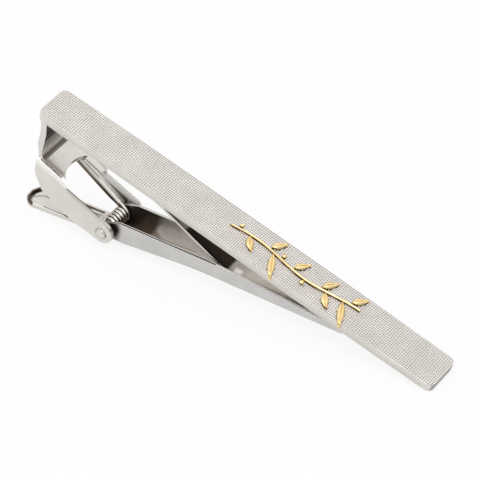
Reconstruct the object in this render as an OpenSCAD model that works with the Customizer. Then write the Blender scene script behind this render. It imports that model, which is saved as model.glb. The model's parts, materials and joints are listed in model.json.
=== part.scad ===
// Sprung tie clip: a flat front bar with a gold leaf sprig, a folded hinge bracket,
// a channel lever on a riveted pin, its torsion spring and a bowed clamp leaf.
// Every piece is drawn in the clip's own frame: X along the bar with the hinge at -X,
// Z square to the bar's face, and the origin at the middle of that face. stand() then
// tips the whole clip onto the tail of its lever and the free end of its bar, as it
// lies on a table, with the origin under the middle of its box.

/* [Front bar] */
// Length of the bar
bar_len = 58; // [54:0.5:64]
// Width across the ends
bar_end_w = 5.35; // [5:0.05:5.6]
// How far each long side swells out at the middle
bar_swell = 0.15; // [0.05:0.01:0.3]
// Thickness of the bar
bar_t = 1.24; // [1:0.02:1.5]
// Corner radius seen from the front
bar_corner_r = 0.9; // [0.5:0.1:1.5]
// Rounding of the front edges
bar_edge_r = 0.22; // [0.12:0.02:0.34]

/* [Hinge] */
// From the hinge end of the bar to the pin
hinge_in = 12.5; // [12:0.1:13.5]
// From the front face down to the pin
hinge_drop = 11.85; // [11.6:0.05:12.6]
// Diameter of the pin
pin_d = 0.9; // [0.7:0.02:1]
// Diameter of the riveted heads
head_d = 1.25; // [1.1:0.05:1.6]
// Height of the riveted heads
head_h = 0.16; // [0.1:0.02:0.3]
// Radial clearance of the lever on the pin
run_clear = 0.05; // [0.03:0.01:0.1]
// Radial clearance of the pin in the ears, closed by the rivet heads
rivet_clear = 0.01; // [0.005:0.005:0.02]

/* [Bracket] */
// From the hinge end of the bar to the middle of the strip's thickness
strip_in = 1.4; // [1.2:0.05:1.8]
// Thickness of the strip
strip_t = 0.86; // [0.7:0.02:1]
// Width of the strip
strip_w = 5.25; // [4.6:0.05:5.3]
// How far the strip's root leans outwards under the bar
strip_lean = 0.27; // [0.1:0.01:0.3]
// Inner radius of the bend between strip and plate
bend_r = 1.1; // [0.8:0.1:1.4]
// From the front face down to the top of the plate
plate_drop = 7.0; // [6.6:0.05:7.4]
// Slope of the plate, down towards the pin
plate_slope = 11.6; // [9:0.2:13]
// Thickness of the plate and the ears
sheet_t = 0.56; // [0.44:0.02:0.6]
// Width over the two ears
ear_span = 6.36; // [6.2:0.02:6.8]
// Outer radius of the folds between plate and ears
fold_r = 0.8; // [0.7:0.05:1]
// From the strip's inner face to the deepest point of the notch
notch_in = 2.9; // [2.4:0.1:3.4]
// Radius of the notch
notch_r = 3.7; // [3.4:0.1:4.2]
// Radius of the ears about the pin
ear_r = 1.5; // [1.3:0.05:1.6]
// Length of the soldered foot under the bar
foot_len = 5; // [3:0.5:7]
// Width of the soldered foot
foot_w = 3.6; // [2.8:0.1:4.2]

/* [Lever] */
// Clearance between the jaw's upper edge and the back of the bar when closed
jaw_clear = 0.23; // [0.15:0.01:0.3]
// Outside width of the channel
lever_w = 4.22; // [4.2:0.02:4.4]
// Sheet thickness of the lever
lever_t = 0.34; // [0.28:0.01:0.36]
// From the pin down to the underside
lever_drop = 1.48; // [1.46:0.01:1.6]
// From the pin to the tip of the jaw
tip_reach = 34.2; // [32:0.2:34.4]
// Height of the jaw at its tip
tip_h = 0.8; // [0.6:0.02:0.84]
// Highest point of the channel walls above the underside
wall_h = 3.12; // [2.8:0.02:3.4]
// From the pin to that highest point
wall_peak = 2.3; // [1.6:0.1:2.6]
// From the pin to where the walls begin to fall away towards the jaw
knee_reach = 16.5; // [14:0.5:18]
// Height of the walls there, above the underside at the pin
knee_h = 2.75; // [2.4:0.05:2.9]
// How far the underside bows up
lever_bow = 0.62; // [0.3:0.02:0.7]
// From the pin to the top of that bow
bow_reach = 12.8; // [11:0.2:14]
// From the pin to the end of the thumb tail
tail_reach = 13.5; // [12.5:0.1:14]
// Width of the thumb tail
tail_w = 3.6; // [3.4:0.05:4]
// Extra angle that the tail dips by
tail_dip = 1.6; // [0.4:0.1:2.4]
// Height of the rim round the tail above its floor
rim_h = 0.26; // [0.15:0.01:0.4]
// Width of that rim
rim_w = 0.36; // [0.28:0.02:0.5]
// Height of the raised thumb pad
pad_h = 0.14; // [0.08:0.01:0.2]
// Width of the thumb pad
pad_w = 2.0; // [1.6:0.05:2.2]

/* [Torsion spring] */
// Diameter of the wire
wire_d = 0.46; // [0.4:0.01:0.46]
// Diameter of the coil at the middle of the wire
coil_d = 1.68; // [1.56:0.01:1.7]
// Step of the coil for each turn
coil_pitch = 0.88; // [0.88:0.005:0.89]
// How far the upper leg reaches in under the plate, past the notch
leg_under = 0.7; // [0.4:0.05:1]
// How far the upper leg splays outwards on its way
leg_splay = 0.5; // [0.2:0.05:0.6]
// Length of the lower leg along the tail
leg_len = 7; // [5:0.25:8]

/* [Clamp leaf] */
// Width of the leaf
leaf_w = 2.9; // [2.4:0.05:3.1]
// Thickness of the leaf
leaf_t = 0.34; // [0.28:0.01:0.36]
// From the hinge end of the bar to where the leaf leaves it
leaf_in = 12.9; // [12.7:0.1:14]
// From the tip of the jaw back to where the leaf meets the bar again
leaf_back = 0.95; // [0.6:0.05:2]
// Clearance over the floor of the channel where the leaf's two straight runs would meet
leaf_clear = 0.52; // [0.4:0.02:0.8]
// Radius of the bow
leaf_bow_r = 8; // [6:0.5:10]
// Length of each soldered foot
leaf_foot = 2.6; // [2:0.1:3]

/* [Gold sprig] */
// Height of the gold relief
relief = 0.36; // [0.24:0.02:0.5]
// From the hinge end of the bar to the middle of the sprig
sprig_in = 36.3; // [33:0.1:38]
// Length of the stem
stem_len = 18.6; // [17:0.2:19.4]
// Width of the stem
stem_w = 0.42; // [0.34:0.02:0.5]
// How far the stem sways to each side
stem_sway = 0.42; // [0.2:0.02:0.5]
// Length of an ordinary leaf of the sprig
blade_len = 2.15; // [1.8:0.05:2.3]
// Width of a leaf of the sprig
blade_w = 0.98; // [0.8:0.02:1.1]
// Length of the two leaves that fold over the bar's edge
fold_len = 3.6; // [3.3:0.05:3.9]
// Diameter of the berries
berry_d = 0.62; // [0.5:0.02:0.7]
// Bare strip between a leaf and the stem
sprig_gap = 0.12; // [0.08:0.01:0.2]

/* [Hidden] */

$fn = 72;
overrun = bar_t / 2;          // how far a cutting body runs past what it cuts
arc_steps = 8;                // flats in each rounded corner of an outline
half_len = bar_len / 2;
back_z = -bar_t;
pin_x = hinge_in - half_len;
pin_z = -hinge_drop;

// Directions and outlines
function unit(v) = v / norm(v);
function between(a, b, share) = a + (b - a) * share;
function arc(centre, r, a0, a1, steps) =
    [for (k = [0 : steps]) centre + r * [cos(between(a0, a1, k / steps)), sin(between(a0, a1, k / steps))]];
function short_turn(a) = a > 180 ? a - 360 : a < -180 ? a + 360 : a;

// The points of one corner: the corner itself, or an arc of radius r that is tangent to both sides
function corner(before, at, after, r) = r == 0 ? [at] :
    let (u = unit(before - at), v = unit(after - at), half = acos(u * v) / 2,
         centre = at + unit(u + v) * r / sin(half),
         from = at + u * r / tan(half) - centre, to = at + v * r / tan(half) - centre,
         a0 = atan2(from.y, from.x), turn = short_turn(atan2(to.y, to.x) - a0))
    arc(centre, r, a0, a0 + turn, arc_steps);

// A closed outline from corners [x, y, radius]
function rounded(c) = let (n = len(c))
    [for (i = [0 : n - 1], p = corner([c[(i + n - 1) % n].x, c[(i + n - 1) % n].y], [c[i].x, c[i].y],
                                      [c[(i + 1) % n].x, c[(i + 1) % n].y], c[i].z)) p];

// An open path from corners [x, y, radius]
function rounded_path(c) = let (n = len(c))
    [for (i = [0 : n - 1], p = i == 0 || i == n - 1 ? [[c[i].x, c[i].y]]
        : corner([c[i - 1].x, c[i - 1].y], [c[i].x, c[i].y], [c[i + 1].x, c[i + 1].y], c[i].z)) p];

// A strip of even thickness t that follows an open path
function path_normal(p, i) = let (n = len(p), d = unit(p[min(i + 1, n - 1)] - p[max(i - 1, 0)])) [-d.y, d.x];
function ribbon(p, t) = let (n = len(p))
    concat([for (i = [0 : n - 1]) p[i] + path_normal(p, i) * t / 2],
           [for (i = [n - 1 : -1 : 0]) p[i] - path_normal(p, i) * t / 2]);

// A closed skin over rings of points. Each ring runs anticlockwise seen from the last ring
module skin(rings) {
    n = len(rings);
    m = len(rings[0]);
    sides = [for (i = [0 : n - 2], j = [0 : m - 1])
        let (a = i * m + j, b = i * m + (j + 1) % m)
        each [[a, b + m, b], [a, a + m, b + m]]];
    foot = [for (j = [1 : m - 2]) [0, j, j + 1]];
    top = [for (j = [1 : m - 2]) [(n - 1) * m, (n - 1) * m + j + 1, (n - 1) * m + j]];
    polyhedron(points = [for (r = rings) each r], faces = concat(sides, foot, top));
}

// A side outline, x and z, given a width across the clip
module across(w) rotate([90, 0, 0]) linear_extrude(w, center = true) children();

// The angle between lever and bar brings the jaw's upper edge to its clearance under the bar
floor_w = -lever_drop;
jaw_rise = hinge_drop - bar_t - jaw_clear;
lever_angle = asin(jaw_rise / norm([tip_reach, floor_w + tip_h])) - atan2(floor_w + tip_h, tip_reach);

// How the clip stands
tail_turn = lever_angle + tail_dip;
tail_foot = [pin_x + lever_drop * sin(lever_angle) - tail_reach * cos(tail_turn),
             pin_z - lever_drop * cos(lever_angle) - tail_reach * sin(tail_turn)];
bar_foot = [half_len, back_z];
tilt = atan2(bar_foot.y - tail_foot.y, bar_foot.x - tail_foot.x);
function stood(p) = [p.x * cos(tilt) + p.y * sin(tilt), -p.x * sin(tilt) + p.y * cos(tilt)];
stand_low = stood(bar_foot).y;
// The clip reaches furthest left at the top of the tail's rim, and furthest right
// where the bar's rounded front edge is square to the table
tail_lip = stood(tail_foot + (lever_t + rim_h) * [-sin(tail_turn), cos(tail_turn)]);
bar_edge_c = stood([half_len - bar_edge_r, -bar_edge_r]);
stand_mid = (tail_lip.x + bar_edge_c.x + bar_edge_r) / 2;

module stand() translate([-stand_mid, 0, -stand_low]) rotate([0, tilt, 0]) children();

// Front bar
side_steps = 28;
edge_steps = 5;
end_half = bar_end_w / 2;
side_r = (pow(half_len, 2) + pow(bar_swell, 2)) / (2 * bar_swell);
function half_width(x) = end_half + bar_swell - side_r + sqrt(pow(side_r, 2) - pow(x, 2));

// The plan outline, anticlockwise, drawn in by `inset`
function bar_plan(inset) =
    let (r = bar_corner_r - inset, cx = half_len - bar_corner_r, cy = half_width(cx) - bar_corner_r)
    concat(arc([cx, -cy], r, -90, 0, arc_steps), arc([cx, cy], r, 0, 90, arc_steps),
           [for (k = [1 : side_steps - 1]) let (x = between(cx, -cx, k / side_steps)) [x, half_width(x) - inset]],
           arc([-cx, cy], r, 90, 180, arc_steps), arc([-cx, -cy], r, 180, 270, arc_steps),
           [for (k = [1 : side_steps - 1]) let (x = between(-cx, cx, k / side_steps)) [x, inset - half_width(x)]]);

module front_bar() {
    edge = [for (k = [0 : edge_steps]) 90 * k / edge_steps];
    levels = concat([[0, back_z]],
                    [for (a = edge) [bar_edge_r * (1 - cos(a)), bar_edge_r * (sin(a) - 1)]]);
    color("lightgray") stand()
        skin([for (l = levels) [for (p = bar_plan(l.x)) [p.x, p.y, l.y]]]);
}

// Bracket: strip, plate with its notch, and two ears, folded from one piece
strip_x = strip_in - half_len;
strip_inner = strip_x + strip_t / 2;
strip_outer = strip_x - strip_t / 2;
strip_drop = plate_drop - bar_t;
ear_reach = hinge_in - strip_in;             // strip to pin, which sets the length of the ears
plate_rise = hinge_drop - plate_drop;        // pin to plate, which sets their height
notch_x = strip_inner + notch_in;
function plate_top(x) = -plate_drop - (x - strip_inner) * tan(plate_slope);
plate_end = notch_x + notch_r / 2;
plate_fall = sheet_t / cos(plate_slope);
// The strip's outer side narrows towards its foot: shares of the strip's drop and thickness
waist_share = 0.29;
belly_share = 0.66;
neck_share = 0.95;
neck_in_share = 0.58;

function strip_outline() = rounded([
    [strip_outer - strip_lean, back_z, 0],
    [strip_outer, back_z - strip_drop * waist_share, 3 * strip_t],
    [strip_outer, back_z - strip_drop * belly_share, 3 * strip_t],
    [strip_outer + strip_t * neck_in_share, back_z - strip_drop * neck_share, strip_t / 4],
    [strip_outer + strip_t * neck_in_share, plate_top(strip_inner) - plate_fall, 0],
    [plate_end, plate_top(plate_end) - plate_fall, 0],
    [plate_end, plate_top(plate_end), 0],
    [strip_inner, plate_top(strip_inner), bend_r],
    [strip_inner, back_z - strip_drop * waist_share, 3 * strip_t],
    [strip_inner - strip_lean, back_z, 0]]);

// The ears seen from the side: shares of their reach left of the pin and their rise above it
ear_left = pin_x - ear_reach;
function ear_at(reach_share, rise_share) = [pin_x - ear_reach * reach_share, pin_z + plate_rise * rise_share];
function ear_point(reach_share, rise_share, r) = concat(ear_at(reach_share, rise_share), [r]);
ear_brow = ear_at(0.53, 0.565);
function ear_outline() = rounded([
    ear_point(0.985, 0.99, 0),
    ear_point(0.970, 0.52, ear_r),
    ear_point(0.830, 0.05, ear_r / 2),
    ear_point(0.365, -0.265, 2 * ear_r),
    [pin_x + ear_r, pin_z - ear_r, ear_r - rivet_clear],
    [pin_x + ear_r, pin_z + ear_r * 0.97, ear_r * 0.9],
    ear_point(0.315, 0.475, ear_r),
    [ear_brow.x, ear_brow.y, 0],
    [ear_brow.x, plate_top(ear_brow.x), 0]]);

// The far ear is cut higher along its lower edge. This is what is cut away there
function far_cut() = rounded([
    ear_point(1.2, 0.80, 0),
    ear_point(0.981, 0.80, 0),
    ear_point(0.955, 0.56, ear_r),
    ear_point(0.800, 0.328, ear_r),
    ear_point(0.270, -0.135, 2 * ear_r),
    ear_point(-0.020, -0.300, 0),
    ear_point(-0.020, -1, 0),
    ear_point(1.2, -1, 0)]);

// The folded section: a plate over two ears, drawn with its top at zero
module fold_section() {
    inner_half = ear_span / 2 - sheet_t;
    fold_in = fold_r - sheet_t;
    difference() {
        union() {
            translate([-ear_span / 2, -2 * hinge_drop]) square([ear_span, 2 * hinge_drop - fold_r]);
            translate([fold_r - ear_span / 2, -2 * fold_r]) square([ear_span - 2 * fold_r, 2 * fold_r]);
            for (side = [-1, 1]) translate([side * (ear_span / 2 - fold_r), -fold_r]) circle(fold_r);
        }
        translate([-inner_half, -2 * hinge_drop - overrun])
            square([2 * inner_half, 2 * hinge_drop + overrun - fold_r]);
        translate([fold_in - inner_half, -2 * fold_r]) square([2 * (inner_half - fold_in), 2 * fold_r - sheet_t]);
        for (side = [-1, 1]) translate([side * (inner_half - fold_in), -fold_r]) circle(fold_in);
    }
}

module bracket() {
    run = ear_reach + 2 * ear_r;
    color("gainsboro") stand() {
        difference() {
            intersection() {
                translate([strip_inner, 0, -plate_drop]) rotate([0, plate_slope, 0]) translate([-run / 2, 0, 0])
                    rotate([90, 0, 90]) linear_extrude(2 * run) fold_section();
                across(2 * ear_span) polygon(ear_outline());
            }
            // The notch stops at the brow of the ears
            intersection() {
                translate([notch_x + notch_r, 0, ear_brow.y - overrun]) cylinder(r = notch_r, h = hinge_drop);
                across(2 * ear_span) polygon([
                    ear_at(1, 0.60), ear_brow, [pin_x + ear_reach, ear_brow.y], [pin_x + ear_reach, 0], [ear_left, 0]]);
            }
            translate([0, ear_span / 2, 0]) across(2 * fold_r) polygon(far_cut());
            translate([pin_x, 0, pin_z]) rotate([90, 0, 0])
                cylinder(d = pin_d + 2 * rivet_clear, h = 2 * ear_span, center = true);
        }
        difference() {
            across(strip_w) polygon(strip_outline());
            translate([notch_x + notch_r, 0, -2 * plate_drop]) cylinder(r = notch_r, h = 2 * plate_drop + overrun);
        }
        translate([strip_inner - strip_lean - sheet_t, -foot_w / 2, back_z - sheet_t])
            cube([foot_len + sheet_t, foot_w, sheet_t]);
    }
}

// Clamp leaf: one strip, soldered by both feet and bowed into the channel
leaf_z = back_z - leaf_t / 2;
leaf_x0 = leaf_in - half_len;
leaf_x1 = pin_x + tip_reach * cos(lever_angle) - floor_w * sin(lever_angle) - leaf_back;
leaf_low_share = 0.52;
leaf_low = between(leaf_x0, leaf_x1, leaf_low_share);
leaf_foot_r = 3 * leaf_t;
module clamp_leaf() {
    path = rounded_path([
        [leaf_x0 - leaf_foot, leaf_z, 0], [leaf_x0, leaf_z, leaf_foot_r],
        [leaf_low, channel_floor(leaf_low) + leaf_clear + leaf_t / 2, leaf_bow_r],
        [leaf_x1, leaf_z, leaf_foot_r], [leaf_x1 + leaf_foot, leaf_z, 0]]);
    color("silver") stand() across(leaf_w) polygon(ribbon(path, leaf_t));
}

// Lever: drawn about the pin, with u along its underside towards the tip and w square to it
boss_r = lever_drop - lever_t;
module on_lever() stand() translate([pin_x, 0, pin_z]) rotate([0, -lever_angle, 0]) children();

// The underside runs straight past the pin, bows up and comes down again to the jaw
bow_r = 1.6 * tip_reach;
bow_foot = 2 * lever_drop;
bow_end = tip_reach + overrun;
bow_fall = lever_bow / (tip_reach - bow_reach);

function lever_outline() = rounded([
    [-boss_r - lever_t, floor_w, 0],
    [bow_foot, floor_w, bow_r / 2],
    [bow_reach, floor_w + lever_bow, bow_r],
    [tip_reach, floor_w, tip_h / 3],
    [tip_reach, floor_w + tip_h, tip_h / 3],
    [knee_reach, floor_w + knee_h, bow_r],
    [wall_peak, floor_w + wall_h, lever_t],
    [-boss_r * 0.6, boss_r * 0.72, boss_r * 0.8],
    [-boss_r - lever_t, -boss_r * 0.45, boss_r / 4]]);

// Height of the channel's floor under a place along the bar, with the closed lever
function channel_floor(x) =
    let (low = floor_w + lever_t, u = (x - pin_x + low * sin(lever_angle)) / cos(lever_angle),
         bow = min(lever_bow * (u - bow_foot) / (bow_reach - bow_foot), bow_fall * (tip_reach - u)))
    pin_z + u * sin(lever_angle) + (low + max(bow, 0)) * cos(lever_angle);

// What is cut out of it between the two walls, down to the floor of the channel
function channel_outline() = rounded([
    [-tail_reach, floor_w + lever_t, 0],
    [bow_foot, floor_w + lever_t, bow_r / 2 - lever_t],
    [bow_reach, floor_w + lever_t + lever_bow, bow_r + lever_t],
    [bow_end, floor_w + lever_t - overrun * bow_fall, 0],
    [bow_end, wall_h, 0],
    [-tail_reach, wall_h, 0]]);

module tail_plan(inset) {
    end_r = tail_w / 2 - inset;
    translate([end_r + inset - tail_reach, 0]) circle(end_r);
    translate([end_r + inset - tail_reach, -end_r]) square([tail_reach - end_r - inset, 2 * end_r]);
}

module lever() {
    inner_w = lever_w - 2 * lever_t;
    pad_len = tail_reach / 2;
    rim_full = -0.72 * tail_reach;
    rim_gone = -0.3 * tail_reach;
    pad_r = pad_w / 2;
    color("darkgray") on_lever() {
        difference() {
            across(lever_w) polygon(lever_outline());
            across(inner_w) polygon(channel_outline());
            rotate([90, 0, 0]) cylinder(d = pin_d + 2 * run_clear, h = 2 * lever_w, center = true);
        }
        translate([0, 0, floor_w]) rotate([0, -tail_dip, 0]) {
            linear_extrude(lever_t) tail_plan(0);
            // The rim is full round the end and fades away towards the channel walls
            translate([0, 0, lever_t]) intersection() {
                linear_extrude(rim_h) difference() {
                    tail_plan(0);
                    tail_plan(rim_w);
                }
                across(tail_w) polygon([[-tail_reach, 0], [-tail_reach, rim_h], [rim_full, rim_h], [rim_gone, 0]]);
            }
            translate([0, 0, lever_t]) linear_extrude(pad_h) {
                translate([pad_r + 2 * rim_w - tail_reach, 0]) circle(pad_r);
                translate([pad_r + 2 * rim_w - tail_reach, -pad_r]) square([pad_len - pad_r, pad_w]);
            }
        }
    }
}

// Hinge pin: a plain rivet with a low domed head at each end
module hinge_pin() {
    half = ear_span / 2;
    head_r = head_d / 2;
    dome_r = (pow(head_r, 2) + pow(head_h, 2)) / (2 * head_h);
    dome = asin(head_r / dome_r);
    color("whitesmoke") stand() translate([pin_x, 0, pin_z]) rotate([90, 0, 0]) {
        cylinder(d = pin_d, h = ear_span, center = true);
        for (side = [0, 1]) mirror([0, 0, side]) rotate_extrude()
            polygon(concat([[0, half]], [[head_r, half]],
                           [for (k = [1 : arc_steps]) let (a = dome * (1 - k / arc_steps))
                               [dome_r * sin(a), half + head_h - dome_r * (1 - cos(a))]]));
    }
}

// Torsion spring: one tube along lower leg, coil and upper leg, worked out about the pin
turn_steps = 24;
wire_sides = 8;
whole_turns = 3;
coil_r = coil_d / 2;
leg_steps = 4;
// The lower leg leaves the bottom of the coil and runs along the lever's floor
low_angle = lever_angle - 90;
low_dir = [-cos(lever_angle), -sin(lever_angle)];
// The upper leg leaves the top of the coil and bears on the underside of the plate
up_end = let (x = notch_x - leg_under)
    [x - pin_x, plate_top(x) - plate_fall - wire_d * 0.6 / cos(plate_slope) - pin_z];
up_angle = atan2(up_end.y, up_end.x) - acos(coil_r / norm(up_end));
coil_sweep = 360 * whole_turns + up_angle - low_angle;
coil_half = coil_pitch * coil_sweep / 720;

function spring_path() =
    let (low = coil_r * [cos(low_angle), sin(low_angle)], up = coil_r * [cos(up_angle), sin(up_angle)],
         n = ceil(coil_sweep * turn_steps / 360))
    concat([for (k = [0 : leg_steps - 1]) let (p = low + low_dir * leg_len * (1 - k / leg_steps)) [p.x, -coil_half, p.y]],
           [for (k = [0 : n]) let (a = low_angle + coil_sweep * k / n)
               [coil_r * cos(a), between(-coil_half, coil_half, k / n), coil_r * sin(a)]],
           [for (k = [1 : leg_steps]) let (p = between(up, up_end, k / leg_steps))
               [p.x, coil_half + leg_splay * pow(k / leg_steps, 2), p.y]]);

function tube_ring(p, i, r, sides) =
    let (n = len(p), ahead = unit(p[min(i + 1, n - 1)] - p[max(i - 1, 0)]),
         across = unit(cross([0, 1, 0], ahead)), along = cross(ahead, across))
    [for (s = [0 : sides - 1]) p[i] + r * (cos(360 * s / sides) * across + sin(360 * s / sides) * along)];

wire_path = spring_path();
wire_gap = min([for (i = [0 : len(wire_path) - 1], j = [i + turn_steps / 2 : 1 : len(wire_path) - 1])
    norm(wire_path[i] - wire_path[j])]) - wire_d;
echo(least_gap_of_spring_to_itself = wire_gap);

module torsion_spring() color("lightsteelblue") stand() translate([pin_x, 0, pin_z])
    skin([for (i = [0 : len(wire_path) - 1]) tube_ring(wire_path, i, wire_d / 2, wire_sides)]);

// Gold sprig: a stem, leaves and berries that lie on the front face.
// A flat place [x, v] and a height h, carried round the bar's near front edge where v passes it
function wrapped(x, v, h) =
    let (edge = half_width(x) - bar_edge_r, past = -v - edge, a = past / bar_edge_r * 180 / PI)
    past <= 0 ? [x, v, h]
    : a < 90 ? [x, -edge - (bar_edge_r + h) * sin(a), (bar_edge_r + h) * cos(a) - bar_edge_r]
    : [x, -edge - bar_edge_r - h, -bar_edge_r - (past - bar_edge_r * PI / 2)];

stem_x0 = sprig_in - half_len - stem_len / 2;
stem_steps = 26;
stem_waves = 1.25;
function stem_y(x) = stem_sway * sin(360 * stem_waves * (x - stem_x0) / stem_len);
function stem_half(share) = stem_w / 2 * (0.45 + 0.55 * sin(180 * between(0.08, 0.7, share)));

// Half of a rounded section, in shares of the half width and the height
ridge_shares = [[1, 0], [1, 0.35], [0.72, 0.85], [0.25, 1]];
function ridge(half, height) = concat([for (s = ridge_shares) [s.x * half, s.y * height]],
    [for (k = [len(ridge_shares) - 1 : -1 : 0]) [-ridge_shares[k].x * half, ridge_shares[k].y * height]]);

module sprig_stem() color("gold") stand()
    skin([for (k = [0 : stem_steps]) let (x = between(stem_x0, stem_x0 + stem_len, k / stem_steps))
        [for (p = ridge(stem_half(k / stem_steps), relief * 0.8)) [x, stem_y(x) + p.x, p.y]]]);

// A leaf starts beside the stem at a share of its length, on one side, and leans by an angle
blade_steps = 14;
fold_steps = 34;
// Section of a leaf: a sharp rim, a full cheek and a vein pressed into the middle
blade_shares = [[1, 0], [1, 0.3], [0.55, 1], [0.12, 0.9], [0, 0.62]];
function blade_section(half, height) = concat([for (s = blade_shares) [s.x * half, s.y * height]],
    [for (k = [len(blade_shares) - 2 : -1 : 0]) [-blade_shares[k].x * half, blade_shares[k].y * height]]);
blade_tip_share = 0.12;
film = bar_t / 60;            // solder under the folded leaves

module blade(stem_share, side, lean, length, width, curl, seat, steps) {
    x0 = stem_x0 + stem_len * stem_share;
    start = [x0, stem_y(x0) + side * (stem_w / 2 + sprig_gap)];
    rings = [for (k = [0 : steps]) let (s = k / steps,
            turn = lean + curl * s, dir = [cos(turn), side * sin(turn)],
            flat = start + length * s * [cos(lean + curl * s / 2), side * sin(lean + curl * s / 2)],
            half = width / 2 * (blade_tip_share + (1 - blade_tip_share) * sin(180 * pow(s, 0.8))),
            high = relief * (0.5 + 0.5 * sin(180 * min(s + 0.15, 0.85))))
        [for (p = blade_section(half, high)) let (q = flat + p.x * [-dir.y, dir.x]) wrapped(q.x, q.y, p.y + seat)]];
    color("gold") stand() skin(rings);
}

// [share of the stem, side, lean, curl] of the ordinary leaves. The bar's near side is -1
blade_place_shares = [[0.93, 1, 62, -22], [0.72, 1, 66, -22], [0.76, -1, 62, -22],
                     [0.50, 1, 64, -22], [0.30, 1, 66, -22], [0.15, -1, 60, -20]];
module flat_blade(k) let (b = blade_place_shares[k])
    blade(b[0], b[1], b[2], blade_len, blade_w, b[3], 0, blade_steps);

fold_share_1 = 0.34;
fold_share_2 = 0.88;
fold_lean = 62;
module folded_blade(share) blade(share, -1, fold_lean, fold_len, blade_w, 0, film, fold_steps);

module sprig_leaf_1() flat_blade(0);
module sprig_leaf_2() flat_blade(1);
module sprig_leaf_3() flat_blade(2);
module sprig_leaf_4() flat_blade(3);
module sprig_leaf_5() flat_blade(4);
module sprig_leaf_6() flat_blade(5);
module sprig_leaf_7() folded_blade(fold_share_1);
module sprig_leaf_8() folded_blade(fold_share_2);

module berry(stem_share, side) {
    x = stem_x0 + stem_len * stem_share;
    y = stem_y(x) + side * (stem_w / 2 + sprig_gap + berry_d / 2);
    color("gold") stand() translate([x, y, 0]) intersection() {
        translate([0, 0, relief * 0.15]) sphere(d = berry_d);
        translate([-berry_d, -berry_d, 0]) cube(2 * berry_d);
    }
}
module sprig_berry_1() berry(0.60, -1);
module sprig_berry_2() berry(0.40, 1);
module sprig_berry_3() berry(0.06, 1);

front_bar();
bracket();
clamp_leaf();
lever();
hinge_pin();
torsion_spring();
sprig_stem();
sprig_leaf_1();
sprig_leaf_2();
sprig_leaf_3();
sprig_leaf_4();
sprig_leaf_5();
sprig_leaf_6();
sprig_leaf_7();
sprig_leaf_8();
sprig_berry_1();
sprig_berry_2();
sprig_berry_3();
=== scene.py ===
# %% [markdown]
# # A sprung tie clip
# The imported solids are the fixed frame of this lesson: they say where each piece is and how it turns.
# On top of them we model what the eye meets: a grained bar, a folded bracket, a channel lever,
# a rivet, a wound spring, a bowed leaf and a sprig of gold.

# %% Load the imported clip
import json
import math
import bmesh
import bpy
from mathutils import Matrix, Vector


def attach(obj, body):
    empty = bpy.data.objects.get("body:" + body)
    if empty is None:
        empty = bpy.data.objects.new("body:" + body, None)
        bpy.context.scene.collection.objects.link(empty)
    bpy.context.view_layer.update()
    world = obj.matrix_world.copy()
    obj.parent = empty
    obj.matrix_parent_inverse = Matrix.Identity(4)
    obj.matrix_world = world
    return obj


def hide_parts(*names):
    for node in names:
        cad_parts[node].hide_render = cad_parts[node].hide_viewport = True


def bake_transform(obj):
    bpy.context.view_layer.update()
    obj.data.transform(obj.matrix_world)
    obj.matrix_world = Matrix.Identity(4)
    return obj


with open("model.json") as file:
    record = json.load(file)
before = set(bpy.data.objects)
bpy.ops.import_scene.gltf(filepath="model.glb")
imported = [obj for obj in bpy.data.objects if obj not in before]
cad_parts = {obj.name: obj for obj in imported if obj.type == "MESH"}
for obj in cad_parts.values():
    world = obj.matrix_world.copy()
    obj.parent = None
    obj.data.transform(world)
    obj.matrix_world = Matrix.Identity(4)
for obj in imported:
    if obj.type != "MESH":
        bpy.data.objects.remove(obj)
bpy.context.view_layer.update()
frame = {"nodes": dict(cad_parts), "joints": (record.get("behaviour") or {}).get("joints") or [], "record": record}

record = frame["record"]

# %% [markdown]
# The clip lies tipped on its tail. A maker would lay the bar flat on the bench, and so do we: every piece is
# made in millimetres from the middle of the bar's front face, X along the bar and Z out of the face. One
# matrix then carries it to its place in the frame.

# %% The bench and the stand
PIN = Vector((-16.5, 0.0, -11.85))

back_way = Vector(record["mounts"][0]["axis"])
tilt = math.atan2(-back_way.x, -back_way.z)
turn = Matrix.Rotation(tilt, 4, "Y")
pin_row = Vector(frame["joints"][0]["pos_m"])
place = pin_row - (turn @ PIN) * 0.001
STAND = Matrix.Translation(place) @ turn @ Matrix.Scale(0.001, 4)
BENCH = STAND.inverted()
print("the bar slopes by %.2f degrees" % math.degrees(tilt))

# %% [markdown]
# Operators act on what is selected, so each step clears first. `pick` chooses parts of a mesh by a test on
# their place or normal, as a hand would click them. `cut` slices what is chosen, or the whole mesh, and
# `round_off` bevels the chosen edges.

# %% Selecting, cutting and rounding
def done():
    bpy.ops.object.mode_set(mode="OBJECT")


def clear():
    if bpy.context.object and bpy.context.object.mode != "OBJECT":
        done()
    bpy.ops.object.select_all(action="DESELECT")


def only(piece):
    clear()
    piece.select_set(True)
    bpy.context.view_layer.objects.active = piece


def named(name):
    piece = bpy.context.object
    piece.name = piece.data.name = name
    return piece


def edit(piece):
    only(piece)
    bpy.ops.object.mode_set(mode="EDIT")


def blank(name):
    """Name the new piece, fix its size and place in its mesh, and open it for editing."""
    piece = named(name)
    bpy.ops.object.transform_apply()
    edit(piece)
    return piece


def pick(piece, kind, test):
    bpy.ops.mesh.select_mode(type=kind)
    bpy.ops.mesh.select_all(action="DESELECT")
    shape = bmesh.from_edit_mesh(piece.data)
    found = [part for part in {"VERT": shape.verts, "EDGE": shape.edges, "FACE": shape.faces}[kind] if test(part)]
    for part in found:
        part.select_set(True)
    bmesh.update_edit_mesh(piece.data)
    return len(found)


def ends(edge):
    return edge.verts[0].co, edge.verts[1].co


def cut(spot, way, whole=False, **more):
    if whole:
        bpy.ops.mesh.select_all(action="SELECT")
    bpy.ops.mesh.bisect(plane_co=spot, plane_no=way, **more)


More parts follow.
